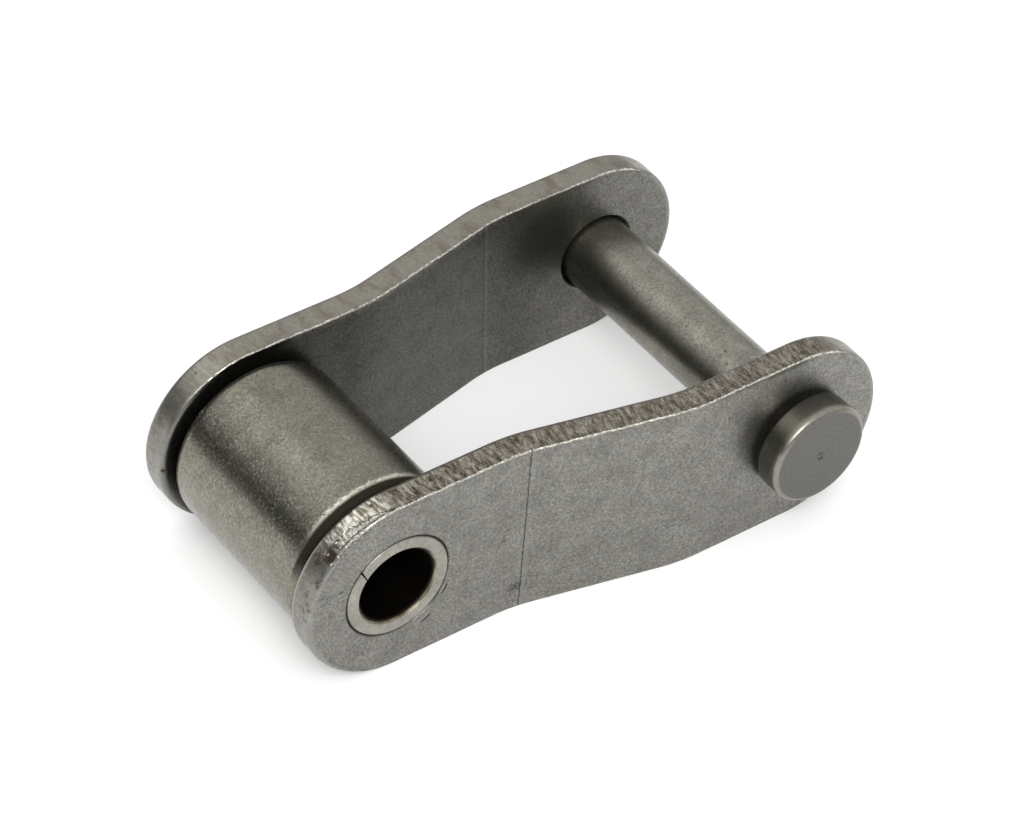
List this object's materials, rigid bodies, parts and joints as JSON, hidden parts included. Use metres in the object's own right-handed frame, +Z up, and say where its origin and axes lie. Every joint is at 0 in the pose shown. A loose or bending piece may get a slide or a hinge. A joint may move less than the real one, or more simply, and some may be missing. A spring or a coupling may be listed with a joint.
{
  "type": "offset chain link",
  "caption": "Cranked roller-chain link that joins an odd number of pitches: side plates, bushing with turning roller, headed pin and split cotter.",
  "frame": {"origin": "on the bushing's axis, midway between the side plates", "axes": "+X from the bushing to the pin, +Y along the bushing's axis towards the cotter's side, +Z up from the plates' lower edges"},
  "size_m": [0.0553, 0.0383, 0.0174],
  "materials": {
    "plate_steel": "matte, shot-peened",
    "bushing_steel": "satin",
    "roller_steel": "satin, fine grained",
    "pin_steel": "satin, dark",
    "cotter_steel": "drawn wire"
  },
  "bodies": {
    "link_frame": {"near_side_plate": "plate_steel", "far_side_plate": "plate_steel", "bushing": "bushing_steel", "pin": "pin_steel", "cotter_pin": "cotter_steel"},
    "roller": {"roller": "roller_steel"}
  },
  "joints": [
    {"name": "roller_spin", "type": "hinge", "parent": "link_frame", "child": "roller", "pos_m": [0, 0, 0], "axis": [0, 1, 0], "continuous": true}
  ]
}
